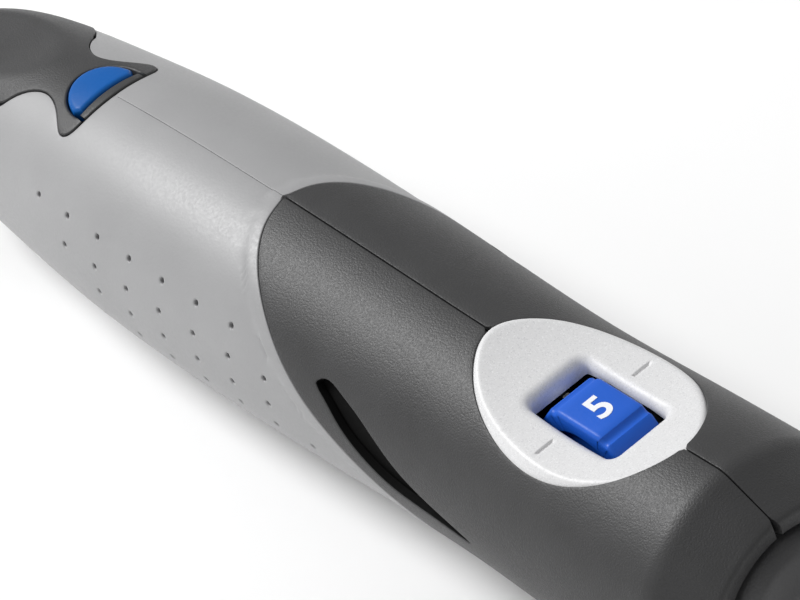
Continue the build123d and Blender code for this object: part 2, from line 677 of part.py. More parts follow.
# ---- output -------------------------------------------------------------------------------------------------
PIECES = {
    "housing_left": housing_left, "housing_right": housing_right, "rear_grip_left": rear_grip_left,
    "rear_grip_right": rear_grip_right, "front_grip_left": front_grip_left,
    "front_grip_right": front_grip_right, "tail_cap": tail_cap, "dc_jack": dc_jack,
    "dc_jack_pin": dc_jack_pin, "dial_bezel": dial_bezel, "speed_dial": speed_dial,
    "dial_numbers": dial_numbers, "dial_axle": dial_axle, "dial_bracket": dial_bracket,
    "speed_potentiometer": speed_potentiometer, "control_board": control_board,
    "board_components": board_components, "power_leads": power_leads, "motor_can": motor_can,
    "motor_end_bell": motor_end_bell, "motor_magnets": motor_magnets, "motor_mounts": motor_mounts,
    "armature_core": armature_core, "armature_windings": armature_windings, "commutator": commutator,
    "brushes": brushes, "brush_springs": brush_springs, "motor_shaft": motor_shaft,
    "rear_motor_bushing": rear_motor_bushing, "front_motor_bushing": front_motor_bushing,
    "cooling_fan": cooling_fan, "motor_coupling": motor_coupling, "coupling_spider": coupling_spider,
    "spindle_coupling": spindle_coupling, "spindle": spindle, "rear_bearing_outer": rear_bearing_outer,
    "rear_bearing_inner": rear_bearing_inner, "rear_bearing_balls": rear_bearing_balls,
    "front_bearing_outer": front_bearing_outer, "front_bearing_inner": front_bearing_inner,
    "front_bearing_balls": front_bearing_balls, "bearing_retainer": bearing_retainer,
    "nose_sleeve": nose_sleeve, "dust_seal": dust_seal, "nose_ring": nose_ring, "collet": collet,
    "collet_nut": collet_nut, "lock_button": lock_button, "lock_pin": lock_pin, "pin_guide": pin_guide,
    "lock_spring": lock_spring, "housing_screws": housing_screws}

os.makedirs("parts", exist_ok=True)
for name, piece in PIECES.items():
    piece.part.label = name
    export_step(piece.part, f"parts/{name}.step")
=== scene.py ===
"""Looks of the rotary hobby tool: smooth shells, grips, dial, button and nose around the CAD frame.

Lengths are millimetres until a mesh is made, where MM turns them into metres. A station is the distance
from the tail rim along the axis. An angle is measured from the top of the tool round to its left.
"""
import json
import math

import bmesh
import bpy
import numpy as np
from mathutils import Matrix, Vector


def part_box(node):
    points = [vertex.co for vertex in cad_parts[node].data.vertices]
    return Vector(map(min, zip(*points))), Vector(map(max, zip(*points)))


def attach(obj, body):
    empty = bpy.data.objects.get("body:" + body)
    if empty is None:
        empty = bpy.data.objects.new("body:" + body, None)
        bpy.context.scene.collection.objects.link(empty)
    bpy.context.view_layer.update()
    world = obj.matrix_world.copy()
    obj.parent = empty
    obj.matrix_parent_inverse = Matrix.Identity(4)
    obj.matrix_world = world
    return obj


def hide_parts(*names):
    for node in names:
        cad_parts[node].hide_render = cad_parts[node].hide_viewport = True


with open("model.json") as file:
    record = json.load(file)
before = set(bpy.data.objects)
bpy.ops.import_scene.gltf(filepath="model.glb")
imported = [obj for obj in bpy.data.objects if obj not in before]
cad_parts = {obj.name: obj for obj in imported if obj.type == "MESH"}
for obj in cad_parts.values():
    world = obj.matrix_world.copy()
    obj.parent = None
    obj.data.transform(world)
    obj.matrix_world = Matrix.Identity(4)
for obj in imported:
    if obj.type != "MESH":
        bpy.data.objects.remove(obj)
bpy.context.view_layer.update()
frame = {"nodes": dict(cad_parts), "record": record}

MM = 0.001

# ---- the tool's own frame --------------------------------------------------------------------------------
NOSE_RING_REAR = 163.7
RIM_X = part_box("nose_ring")[0].x / MM - NOSE_RING_REAR
AXIS_Z = (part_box("nose_ring")[0].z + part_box("nose_ring")[1].z) / 2 / MM

BODY = [(8, 16.3), (24, 16.0), (42, 15.6), (62, 16.15), (82, 16.8), (100, 17.0),
        (119, 16.4), (133, 15.2), (147, 13.6), (157, 11.4), (163.5, 8.9)]
RIM_RADIUS, CREASE_STATION, CREASE_RADIUS, CREASE_SOFT = 12.4, 7.0, 16.15, 0.25
REAR_EDGE = [(85.3, 17.0), (77.4, 12.0), (67.4, 4.8), (60.0, 0.3), (53.6, -3.6), (45.5, -9.5),
             (41.0, -15.6)]
REAR_TIP, REAR_LOW = 85.35, 40.2            # where the rear grip's edge meets the top and bottom lines
FRONT_EDGE = [(134.5, 15.4), (138.0, 12.4), (146.5, 6.8), (150.5, 0.0), (146.0, -6.6), (134.0, -12.0),
              (127.0, -15.7)]
FRONT_NECK, FRONT_LOW = (136.0, 6.0), 126.0  # the nose grip's neck, and its edge on the bottom line
SURROUND = [(121.0, 0), (121.2, 3.5), (121.7, 6.2), (122.5, 7.6), (123.6, 7.9), (125.2, 7.1), (127.8, 5.3),
            (131.4, 4.3), (134.8, 5.4), (138.0, 8.4)]
BEZEL = [(47.2, 0), (44.7, 5.0), (38.0, 9.3), (29.5, 10.8), (20.8, 8.9), (15.6, 4.6), (13.9, 0)]
VENT = [(65.7, 8.0), (65.2, 8.6), (61.6, 8.5), (58.0, 7.1), (53.0, 4.2), (47.0, 1.2), (39.0, -1.8),
        (47.0, -1.4), (53.0, -0.4), (57.4, 1.8), (61.6, 4.8), (65.0, 7.4)]
SCOOP_LOW, SCOOP_RADIUS = 13.0, 53.0
DIAL_STATION, DIAL_HEIGHT, DIAL_RADIUS, DIAL_WIDTH, DIAL_FACETS = 28.7, 4.3, 10.5, 6.9, 7
BUTTON_STATION, BUTTON_LENGTH, BUTTON_HALF_WIDTH, BUTTON_TOP = 123.0, 5.7, 4.9, 16.2
SCREWS = [(10.6, -10.4), (53.2, -10.4), (113.0, -10.8), (139.5, -7.6)]
SCREW_HEAD, SCREW_GAP, SCREW_ROUND = 2.1, 0.1, 0.25


# ---- curves ----------------------------------------------------------------------------------------------
def natural_spline(xs, ys):
    """Natural cubic through the points; returns a function of an array of x."""
    xs, ys = np.asarray(xs, float), np.asarray(ys, float)
    n, h = len(xs), np.diff(xs)
    system, right = np.eye(n), np.zeros(n)
    for i in range(1, n - 1):
        system[i, i - 1:i + 2] = h[i - 1], 2 * (h[i - 1] + h[i]), h[i]
        right[i] = 6 * ((ys[i + 1] - ys[i]) / h[i] - (ys[i] - ys[i - 1]) / h[i - 1])
    bend = np.linalg.solve(system, right)

    def value(x):
        x = np.asarray(x, float)
        i = np.clip(np.searchsorted(xs, x) - 1, 0, n - 2)
        a, b = (xs[i + 1] - x) / h[i], (x - xs[i]) / h[i]
        return (a * ys[i] + b * ys[i + 1]
                + ((a ** 3 - a) * bend[i] + (b ** 3 - b) * bend[i + 1]) * h[i] ** 2 / 6)
    return value


def smooth_curve(points, count, closed=False):
    """Points spread along a cubic curve through the given ones, even in chord length."""
    points = np.asarray(points, float)
    if closed:
        points = np.concatenate([points[-3:], points, points[:4]])
    steps = np.concatenate([[0], np.cumsum(np.hypot(*np.diff(points, axis=0).T))])
    start, end = (steps[3], steps[-4]) if closed else (0, steps[-1])
    at = np.linspace(start, end, count, endpoint=not closed)
    return np.stack([natural_spline(steps, points[:, k])(at) for k in (0, 1)], 1)


body_radius = natural_spline(*zip(*BODY))
CREASE_SLOPE = (CREASE_RADIUS - RIM_RADIUS) / CREASE_STATION


def radius(station):
    """Radius of the body's silhouette: the tail's cone, a soft crease, then the body's curve."""
    station = np.asarray(station, float)
    cone = RIM_RADIUS + CREASE_SLOPE * station
    body = np.where(station < BODY[0][0], BODY[0][1] - 0.15 * (BODY[0][0] - station),
                    body_radius(np.maximum(station, BODY[0][0])))
    t = np.clip(0.5 + (cone - body) / (2 * CREASE_SOFT), 0, 1)
    return cone * (1 - t) + body * t - CREASE_SOFT * t * (1 - t)


def place(station, y, height):
    """A place on the tool, in metres in the row's frame."""
    return np.stack([(RIM_X + station) * MM, y * MM, (AXIS_Z + height) * MM], -1)


def around(station, angle, r):
    return place(station, r * np.sin(angle), r * np.cos(angle))


# ---- outlines on the unrolled surface: station and arc length from the top line --------------------------
UNROLL = 16.0        # outlines are compared at this mean radius


def from_side(points, count, closed=False):
    """An outline drawn from the side, laid on the left flank."""
    curve = smooth_curve(points, count, closed)
    angle = np.arccos(np.clip(curve[:, 1] / radius(curve[:, 0]), -1, 1))
    return np.stack([curve[:, 0], angle * UNROLL], 1)


def from_above(points, count, closed=False):
    """An outline drawn from above, laid on the top."""
    curve = smooth_curve(points, count, closed)
    angle = np.arcsin(np.clip(curve[:, 1] / radius(curve[:, 0]), -1, 1))
    return np.stack([curve[:, 0], angle * UNROLL], 1)


def both_sides(half):
    """The points of half an outline, drawn on the left, with their mirror images on the right."""
    other = [(s, -y) for s, y in half[::-1] if y]
    return [(s, -y) for s, y in half[:0:-1]] + list(half) if half[-1][1] else list(half) + other


BATCH = 4000          # points measured against an outline at a time


def inside_distance(polygon):
    """Signed distance to a closed polygon, positive inside, as a function of an (n, 2) array."""
    start, step = polygon, np.roll(polygon, -1, axis=0) - polygon
    size = np.maximum((step ** 2).sum(1), 1e-12)

    def value(p):
        out = np.empty(len(p))
        for low in range(0, len(p), BATCH):
            q = p[low:low + BATCH, None, :]
            t = np.clip(((q - start) * step).sum(2) / size, 0, 1)
            near = np.sqrt((((start + t[..., None] * step) - q) ** 2).sum(2).min(1))
            above = (start[:, 1] > q[..., 1]) != (start[:, 1] + step[:, 1] > q[..., 1])
            rise = np.where(step[:, 1] == 0, 1e-12, step[:, 1])
            cross = start[:, 0] + step[:, 0] * (q[..., 1] - start[:, 1]) / rise
            odd = (above & (q[..., 0] < cross)).sum(1) % 2 == 1
            out[low:low + BATCH] = np.where(odd, near, -near)
        return out
    return value


def outside(distance):
    return lambda p: -distance(p)


def either(*distances):
    return lambda p: np.max([d(p) for d in distances], axis=0)


def off_seams(gap):
    """Distance to the nearer of the lines that lie a gap away from the top and bottom seams."""
    return lambda p: np.minimum(p[:, 1] - gap, HALF_TURN - gap - p[:, 1])


HALF_TURN = math.pi * UNROLL
SPARE = 9.0           # how far the grips' outlines run on past the half's borders
PAST_NOSE = 180.0
REAR_FROM, FRONT_FROM = 1.5, 7.6     # arc lengths from the top line where the edges drawn from the side begin
rear_edge = from_side(REAR_EDGE, 120)
rear_edge = np.concatenate([[[REAR_TIP, 0.0]], rear_edge[rear_edge[:, 1] > REAR_FROM],
                            [[REAR_LOW, HALF_TURN]]])
rear_rest = [[REAR_LOW, HALF_TURN + SPARE], [-SPARE, HALF_TURN + SPARE], [-SPARE, -SPARE],
             [REAR_TIP, -SPARE]]
in_rear = inside_distance(np.concatenate([rear_edge, rear_rest]))
front_edge = from_side(FRONT_EDGE, 120)
front_edge = np.concatenate([front_edge[front_edge[:, 1] > FRONT_FROM], [[FRONT_LOW, HALF_TURN]]])
front_neck = [[FRONT_NECK[0], -SPARE], FRONT_NECK]
front_rest = [[FRONT_LOW, HALF_TURN + SPARE], [PAST_NOSE, HALF_TURN + SPARE], [PAST_NOSE, -SPARE]]
in_nose = inside_distance(np.concatenate([front_neck, front_edge, front_rest]))
in_surround = inside_distance(from_above(both_sides(SURROUND), 180))
in_front = either(in_nose, in_surround)
in_bezel = inside_distance(from_above(both_sides(BEZEL), 240, closed=True))
in_vent = inside_distance(from_side(VENT, 160, closed=True))


def half_moon(grow, count=60):
    """The lock button's outline seen from above: a straight rear edge and an elliptic front."""
    turn = np.linspace(0.5 * math.pi, -0.5 * math.pi, count)
    half_width, rear = BUTTON_HALF_WIDTH + grow, BUTTON_STATION - grow
    front = np.stack([BUTTON_STATION + (BUTTON_LENGTH + grow) * np.cos(turn), half_width * np.sin(turn)], 1)
    return np.concatenate([front, [[rear, -half_width], [rear, half_width]]])


def unrolled(outline):
    return np.stack([outline[:, 0], np.arcsin(outline[:, 1] / radius(outline[:, 0])) * UNROLL], 1)


WELL_GAP = 0.3        # clearance round the lock button
in_well = inside_distance(unrolled(half_moon(WELL_GAP)))


def circle_hole(station, arc, r):
    return lambda p: r - np.hypot(p[:, 0] - station, p[:, 1] - arc)


def screw_hole(station, height):
    angle = math.acos(height / float(radius(station)))
    return circle_hole(station, angle * UNROLL, SCREW_HEAD + SCREW_GAP)


# ---- trimmed skins ---------------------------------------------------------------------------------------
SNAP = 0.3            # share of a cell within which a grid corner moves onto the trim line
ON_TRIM = 0.15        # an edge point this near a trim line belongs to it
WELD = 2e-6           # metres within which points are joined
SHARP_DEGREES = 35


class Trim:
    """One edge of a skin: a distance that is positive on the material, the radius it is rounded to, and
    whether the wall below the rounding takes the piece's second material, a near-black painted shade."""

    def __init__(self, distance, rounding, dark=False):
        self.distance, self.rounding, self.dark = distance, rounding, dark


def clearance(trims, p):
    """Distance to the nearest trim line, each moved in by its rounding, and which trim that is."""
    all_trims = np.stack([t.distance(p) - t.rounding for t in trims])
    nearest = all_trims.argmin(0)
    return all_trims.min(0), nearest


def slope(trims, p, which):
    """Unit direction in which the nearest trim's distance grows."""
    e = 0.02
    out = np.zeros_like(p)
    for k, trim in enumerate(trims):
        m = which == k
        if m.any():
            for axis in (0, 1):
                d = np.zeros(2)
                d[axis] = e
                out[m, axis] = trim.distance(p[m] + d) - trim.distance(p[m] - d)
    length = np.hypot(*out.T)
    return out / np.maximum(length, 1e-9)[:, None]


def clip_grid(us, vs, trims):
    """Points and faces of a grid in the (u, v) plane, cut along the trim lines."""
    uu, vv = np.meshgrid(us, vs, indexing="ij")
    points = np.stack([uu.ravel(), vv.ravel()], 1)
    value, which = clearance(trims, points)
    cell = min(np.diff(us).min(), np.diff(vs).min())
    step_u = np.minimum(np.diff(us, prepend=us[0] - 1), np.diff(us, append=us[-1] + 1))
    step_v = np.minimum(np.diff(vs, prepend=vs[0] - 1), np.diff(vs, append=vs[-1] + 1))
    reach = SNAP * np.minimum(*np.meshgrid(step_u, step_v, indexing="ij")).ravel()
    near = (np.abs(value) < np.maximum(reach, SNAP * cell * 0.5))
    points[near] -= slope(trims, points[near], which[near]) * value[near, None]
    value[near] = 0.0
    n_v = len(vs)
    index = {}
    out_points, faces = [], []

    def corner(k):
        if k not in index:
            index[k] = len(out_points)
            out_points.append(points[k])
        return index[k]

    def crossing(a, b):
        key = (min(a, b), max(a, b))
        if key not in index:
            t = value[a] / (value[a] - value[b])
            p = points[a] + (points[b] - points[a]) * t
            index[key] = len(out_points)
            out_points.append(p)
        return index[key]

    inside = value >= 0
    grid = inside.reshape(len(us), n_v)
    some = grid[:-1, :-1] | grid[1:, :-1] | grid[:-1, 1:] | grid[1:, 1:]
    for i, j in zip(*np.nonzero(some)):
        ring = [i * n_v + j, (i + 1) * n_v + j, (i + 1) * n_v + j + 1, i * n_v + j + 1]
        face = []
        for a, b in zip(ring, ring[1:] + ring[:1]):
            if inside[a]:
                face.append(corner(a))
            if inside[a] != inside[b] and value[a] != 0 and value[b] != 0:
                face.append(crossing(a, b))
        if len(face) > 2 and any(value[k] > 0 for k in ring):
            faces.append(face)
    return np.array(out_points), faces


def boundary_edges(faces):
    """Directed edges that only one face uses."""
    seen = {}
    for face in faces:
        for a, b in zip(face, face[1:] + face[:1]):
            if (b, a) in seen:
                del seen[(b, a)]
            else:
                seen[(a, b)] = True
    return list(seen)


def trimmed_skin(us, vs, trims, surface, inner_depth, rounding_steps=4):
    """A closed shell: the trimmed grid, edges rolled over to each trim's radius, walls and an inner face.

    surface(p, drop) gives the place of points p of the (u, v) plane, sunk by drop.
    """
    points, faces = clip_grid(us, vs, trims)
    count = len(points)
    edges = boundary_edges(faces)
    rim = sorted({a for edge in edges for a in edge})
    rim_index = {k: i for i, k in enumerate(rim)}
    rim_points = points[rim]
    value, which = clearance(trims, rim_points)
    direction = -slope(trims, rim_points, which)
    rounding = np.array([t.rounding for t in trims])[which]
    on_trim = np.abs(value) < ON_TRIM
    rounding = np.where(on_trim, rounding, 0.0)
    layers_p, layers_drop = [points], [np.zeros(count)]
    for k in range(1, rounding_steps + 1):
        turn = 0.5 * math.pi * k / rounding_steps
        layers_p.append(rim_points + direction * (rounding * math.sin(turn))[:, None])
        layers_drop.append(rounding * (1 - math.cos(turn)))
    outer_rim = layers_p[-1]
    layers_p.append(outer_rim)
    layers_drop.append(np.full(len(rim), inner_depth))
    layers_p.append(points)
    layers_drop.append(np.full(count, inner_depth))
    verts = np.concatenate([surface(p, d) for p, d in zip(layers_p, layers_drop)])
    out = [list(f) for f in faces]
    rings = [rim] + [[count + k * len(rim) + i for i in range(len(rim))] for k in range(rounding_steps + 1)]
    base = count + (rounding_steps + 1) * len(rim)
    rings.append([base + k for k in rim])
    walls = []
    dark = [t.dark for t in trims]
    for a, b in edges:
        for level, (low, high) in enumerate(zip(rings, rings[1:])):
            i, j = rim_index[a], rim_index[b]
            # the lower walls of such a trim take the second material: painted shade inside the recess
            if dark[which[i]] and on_trim[i] and level >= rounding_steps - 1:
                walls.append(len(out))
            out.append([low[j], low[i], high[i], high[j]])
    out += [[base + k for k in reversed(f)] for f in faces]
    return verts, out, walls


def make_object(name, verts, faces, body, material, replaced, smooth=True, second=None, seconds=()):
    """A piece from places and faces; the faces listed in seconds take the second material."""
    mesh = bpy.data.meshes.new(name)
    mesh.from_pydata([tuple(v) for v in verts], [], faces)
    for k in seconds:
        mesh.polygons[k].material_index = 1
    tidy = bmesh.new()
    tidy.from_mesh(mesh)
    bmesh.ops.remove_doubles(tidy, verts=tidy.verts, dist=WELD)
    bmesh.ops.dissolve_degenerate(tidy, edges=tidy.edges, dist=WELD)
    bmesh.ops.recalc_face_normals(tidy, faces=tidy.faces)
    tidy.to_mesh(mesh)
    tidy.free()
    obj = bpy.data.objects.new(name, mesh)
    bpy.context.scene.collection.objects.link(obj)
    mesh.materials.append(material)
    if second:
        mesh.materials.append(second)
    for polygon in mesh.polygons:
        polygon.use_smooth = smooth
    if smooth:
        mesh.set_sharp_from_angle(angle=math.radians(SHARP_DEGREES))
    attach(obj, body)
    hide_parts(*replaced)
    return obj


CLOSEST_LINES = 0.06


def lines(low, high, step, fine=(), fine_reach=0.0, fine_step=0.0):
    """Grid lines from low to high, closer together around the given places."""
    wanted = list(np.linspace(low, high, max(2, round((high - low) / step) + 1)))
    for centre in fine:
        wanted = [w for w in wanted if abs(w - centre) > fine_reach or w in (low, high)]
    for centre in fine:
        near = np.linspace(centre - fine_reach, centre + fine_reach, round(2 * fine_reach / fine_step) + 1)
        wanted += [w for w in near if low < w < high]
    wanted = np.unique(np.round(wanted, 4))
    keep = [wanted[0]]
    for w in wanted[1:]:
        if w - keep[-1] > CLOSEST_LINES:
            keep.append(w)
    keep[-1] = high
    return np.array(keep)


# ---- materials -------------------------------------------------------------------------------------------
def nodes_of(name):
    material = bpy.data.materials.new(name)
    material.use_nodes = True
    tree = material.node_tree
    return material, tree, tree.nodes["Principled BSDF"]


def mottled(tree, shader, colour, spread, scale):
    """Base colour that wanders a little around the given one."""
    noise = tree.nodes.new("ShaderNodeTexNoise")
    noise.inputs["Scale"].default_value = scale
    noise.inputs["Detail"].default_value = 4.0
    place_node = tree.nodes.new("ShaderNodeTexCoord")
    ramp = tree.nodes.new("ShaderNodeValToRGB")
    for stop, factor in zip(ramp.color_ramp.elements, (1 - spread, 1 + spread)):
        stop.color = (*[min(1.0, c * factor) for c in colour], 1)
    ramp.color_ramp.elements[0].position, ramp.color_ramp.elements[1].position = 0.35, 0.65
    tree.links.new(place_node.outputs["Object"], noise.inputs["Vector"])
    tree.links.new(noise.outputs["Fac"], ramp.inputs["Fac"])
    tree.links.new(ramp.outputs["Color"], shader.inputs["Base Color"])
    return place_node, noise


def grain(tree, shader, place_node, scale, height, strength, rough_low, rough_high):
    """Fine moulded grain: bump, and roughness that follows it."""
    noise = tree.nodes.new("ShaderNodeTexNoise")
    noise.inputs["Scale"].default_value = scale
    noise.inputs["Detail"].default_value = 3.0
    bump = tree.nodes.new("ShaderNodeBump")
    bump.inputs["Distance"].default_value = height
    bump.inputs["Strength"].default_value = strength
    spread = tree.nodes.new("ShaderNodeMapRange")
    spread.inputs["From Min"].default_value, spread.inputs["From Max"].default_value = 0.3, 0.7
    spread.inputs["To Min"].default_value, spread.inputs["To Max"].default_value = rough_low, rough_high
    tree.links.new(place_node.outputs["Object"], noise.inputs["Vector"])
    tree.links.new(noise.outputs["Fac"], bump.inputs["Height"])
    tree.links.new(noise.outputs["Fac"], spread.inputs["Value"])
    tree.links.new(spread.outputs["Result"], shader.inputs["Roughness"])
    tree.links.new(bump.outputs["Normal"], shader.inputs["Normal"])


def plastic(name, colour, spread, patch, fine, height, strength, rough, specular):
    """Moulded plastic: patches of a spread and scale, and fine grain of a scale, height and strength."""
    material, tree, shader = nodes_of(name)
    place_node = mottled(tree, shader, colour, spread, patch)[0]
    grain(tree, shader, place_node, fine, height, strength, *rough)
    shader.inputs["Specular IOR Level"].default_value = specular
    return material


def glint_speckled(name, colour, dark, light, scale, rough=(0.4, 0.6)):
    """Plastic with fine darker and lighter cells; the lighter cells are painted glints."""
    material, tree, shader = nodes_of(name)
    place_node = tree.nodes.new("ShaderNodeTexCoord")
    cells = tree.nodes.new("ShaderNodeTexVoronoi")
    cells.inputs["Scale"].default_value = scale
    ramp = tree.nodes.new("ShaderNodeValToRGB")
    ramp.color_ramp.elements[0].color = (*dark, 1)
    ramp.color_ramp.elements[1].color = (*light, 1)
    for position in (0.16, 0.84):
        ramp.color_ramp.elements.new(position).color = (*colour, 1)
    split = tree.nodes.new("ShaderNodeSeparateColor")
    tree.links.new(place_node.outputs["Object"], cells.inputs["Vector"])
    tree.links.new(cells.outputs["Color"], split.inputs["Color"])
    tree.links.new(split.outputs["Red"], ramp.inputs["Fac"])
    tree.links.new(ramp.outputs["Color"], shader.inputs["Base Color"])
    grain(tree, shader, place_node, 3200.0, 0.00003, 0.35, *rough)
    return material


def metal(name, colour, rough, turned=False, spread=0.06):
    """Metal, with fine rings about the tool's axis where it is turned."""
    material, tree, shader = nodes_of(name)
    place_node, noise = mottled(tree, shader, colour, spread, 220.0)
    grain(tree, shader, place_node, 1800.0, 0.00002, 0.25, *rough)
    shader.inputs["Metallic"].default_value = 1.0
    if turned:
        stretch = tree.nodes.new("ShaderNodeMapping")
        stretch.inputs["Scale"].default_value = (9000.0, 120.0, 120.0)
        tree.links.new(place_node.outputs["Object"], stretch.inputs["Vector"])
        tree.links.new(stretch.outputs["Vector"], noise.inputs["Vector"])
        noise.inputs["Scale"].default_value = 1.0
    return material


LIGHT_GREY, PALE_GREY, DARK_GREY = (0.32, 0.32, 0.325), (0.70, 0.70, 0.705), (0.030, 0.030, 0.031)
silver = plastic("satin_silver", LIGHT_GREY, 0.03, 90.0, 2600.0, 0.00005, 0.35, (0.38, 0.5), 0.5)
# Near-black painted shade for the sheet inside the shells and for the vents' walls.
painted_shade_black = plastic("painted_shade_black", (0.005, 0.005, 0.005), 0.1, 80.0, 1500.0, 0.00004, 0.3, (0.7, 0.85),
                      0.08)
grip_rubber = plastic("grip_rubber", DARK_GREY, 0.10, 140.0, 4400.0, 0.00008, 0.7, (0.42, 0.56), 0.55)
tail_grey = plastic("tail_grey", (0.075, 0.075, 0.077), 0.08, 140.0, 2600.0, 0.00008, 0.6, (0.42, 0.6), 0.5)
# The bezel's lighter speckles are painted glints of its fine texture.
bezel_grey = glint_speckled("bezel_sparkle", PALE_GREY, (0.60, 0.60, 0.61), (0.80, 0.80, 0.81), 8000.0,
                      (0.36, 0.5))
nose_grey = plastic("nose_grey", (0.52, 0.52, 0.525), 0.03, 90.0, 2600.0, 0.00004, 0.3, (0.36, 0.48), 0.5)
dial_blue = plastic("dial_blue", (0.012, 0.105, 0.56), 0.05, 90.0, 2400.0, 0.00005, 0.35, (0.36, 0.48), 0.3)
button_blue = plastic("button_blue", (0.003, 0.095, 0.36), 0.05, 90.0, 2400.0, 0.00005, 0.35, (0.36, 0.5),
                      0.2)
ink_white = plastic("number_white", (0.86, 0.87, 0.90), 0.02, 200.0, 2400.0, 0.00002, 0.2, (0.45, 0.55), 0.5)
moulded_black = plastic("moulded_black", (0.020, 0.020, 0.021), 0.12, 90.0, 1800.0, 0.00005, 0.4,
                        (0.45, 0.6), 0.5)
rubber_black = plastic("rubber_black", (0.028, 0.028, 0.028), 0.12, 90.0, 2200.0, 0.00007, 0.6,
                       (0.65, 0.8), 0.4)
laminate = plastic("board_green", (0.02, 0.15, 0.06), 0.2, 400.0, 2400.0, 0.00004, 0.3, (0.3, 0.45), 0.5)
plated = metal("plated_steel", (0.60, 0.60, 0.61), (0.26, 0.4))
ground = metal("ground_steel", (0.68, 0.68, 0.69), (0.14, 0.26), turned=True)
laminated = metal("laminations", (0.34, 0.34, 0.36), (0.35, 0.5), turned=True, spread=0.25)
wire_steel = metal("wire_steel", (0.5, 0.5, 0.51), (0.3, 0.4))
aluminium = metal("turned_aluminium", (0.76, 0.76, 0.77), (0.28, 0.4), turned=True)
yellow_brass = metal("yellow_brass", (0.72, 0.52, 0.22), (0.25, 0.4))
bearing_bronze = metal("bearing_bronze", (0.5, 0.32, 0.16), (0.4, 0.55), spread=0.15)
winding_copper = metal("winding_copper", (0.70, 0.30, 0.13), (0.25, 0.4), spread=0.2)
ferrite = plastic("ferrite", (0.06, 0.06, 0.065), 0.2, 500.0, 1800.0, 0.00008, 0.5, (0.6, 0.75), 0.4)

LOOKS = {
    "silver_shell": silver, "dark_grip": grip_rubber, "bezel_plastic": bezel_grey,
    "dial_plastic": dial_blue, "number_ink": ink_white, "button_plastic": button_blue,
    "tail_plastic": tail_grey, "nose_plastic": nose_grey, "black_plastic": moulded_black,
    "board_laminate": laminate, "brass": yellow_brass, "bronze": bearing_bronze,
    "copper_wire": winding_copper, "plated_steel": plated, "ground_steel": ground,
    "lamination_steel": laminated, "spring_steel": wire_steel, "magnet": ferrite,
    "soft_rubber": rubber_black, "sleeve_aluminium": aluminium, "carbon": ferrite}
slots = {row["node"]: row["material_slot"] for row in frame["record"]["subparts"]}
for node_name, node in frame["nodes"].items():
    for material_slot in node.material_slots:
        material_slot.material = LOOKS[slots[node_name]]


def build_half(name, us, vs, trims, surface, depth, side, material, replaced, steps=4, second=None):
    """One shell of the housing, on the left as drawn or mirrored to the right."""
    verts, faces, seconds = trimmed_skin(us, vs, trims, surface, depth, steps)
    if side < 0:
        verts = verts * np.array([1, -1, 1])
        faces = [face[::-1] for face in faces]
    return make_object(name, verts, faces, "housing", material, replaced, second=second,
                       seconds=seconds)


def screw_trims(*which):
    return [Trim(outside(screw_hole(*SCREWS[k])), SCREW_ROUND) for k in which]


# ---- silver shell ----------------------------------------------------------------------------------------
LOWER = 0.22          # the silver lies this far under the silhouette, except along its lip
LIP_WIDTH = 1.85      # raised band along the rear grip's edge
GAP = 0.06            # gap between the silver and each grip
SILVER_SEAM = 0.03    # half of the gap between the two silver shells
SILVER_DEPTH = 1.2
SHELL_END = 163.4
REAR_ROUND, FRONT_ROUND, SEAM_ROUND = 0.15, 0.12, 0.07     # roundings of the silver's edges
# The dimples are cut through the silver; the near-black sheet beneath them is their painted shade.
DIMPLE_RADIUS, DIMPLE_ROUND, DIMPLE_PITCH = 0.36, 0.26, 6.95
# Each row's angle in degrees, its first station and its number of dimples
DIMPLE_ROWS = [(59.3, 82.0, 7), (74.2, 75.4, 7), (87.5, 75.4, 6), (101.0, 68.8, 6)]
dimples = [(start + k * DIMPLE_PITCH, math.radians(turn) * UNROLL)
           for turn, start, count in DIMPLE_ROWS for k in range(count)]


def smooth_step(x):
    x = np.clip(x, 0, 1)
    return x * x * (3 - 2 * x)


def belly(angle, r):
    """Plane the underside flat where the body reaches below the flat."""
    low = -np.cos(angle) * r
    return np.where(low > AXIS_Z, AXIS_Z / np.maximum(-np.cos(angle), 1e-6), r)


def off_dimples(p):
    """Distance to the nearest of the small round blind holes."""
    near = np.full(len(p), 1e3)
    for station, arc in dimples:
        near = np.minimum(near, np.hypot(p[:, 0] - station, p[:, 1] - arc))
    return near - DIMPLE_RADIUS


def lip_drop(p):
    """Sunk everywhere but along the lip beside the rear grip, with a fine groove behind the lip."""
    away = -in_rear(p)
    step = smooth_step((away - LIP_WIDTH) / 0.35)
    groove = 0.10 * smooth_step(1 - np.abs(away - LIP_WIDTH - 0.3) / 0.35)
    return LOWER * step + groove


def silver_surface(p, drop):
    angle = p[:, 1] / UNROLL
    return around(p[:, 0], angle, belly(angle, radius(p[:, 0]) - lip_drop(p)) - drop)


dimple_stations = sorted({round(station, 3) for station, _ in dimples})
dimple_arcs = sorted({arc for _, arc in dimples})
silver_us = lines(38.5, SHELL_END - 8, 0.75, dimple_stations, 0.85, 0.17)
silver_vs = lines(SILVER_SEAM, HALF_TURN - SILVER_SEAM, 0.7, dimple_arcs, 0.85, 0.17)
silver_trims = [Trim(lambda p: -in_rear(p) - GAP, REAR_ROUND),
                Trim(lambda p: -in_front(p) - GAP, FRONT_ROUND),
                Trim(off_dimples, DIMPLE_ROUND), Trim(off_seams(SILVER_SEAM), SEAM_ROUND)]
build_half("silver_shell_left", silver_us, silver_vs, silver_trims, silver_surface, SILVER_DEPTH, 1, silver,
           ["housing_left"])
build_half("silver_shell_right", silver_us, silver_vs, silver_trims + screw_trims(1, 2, 3), silver_surface,
           SILVER_DEPTH, -1, silver, ["housing_right"])

# ---- shade liner: a black sheet inside the shells, painted shade seen through the gaps, the vents and the dimples ---
SHADE_LINER_TOP, SHADE_LINER_DEPTH = 1.3, 1.1
DISH_ROOM = 1.7       # how much lower the shade liner lies under the nose grip's finger dish
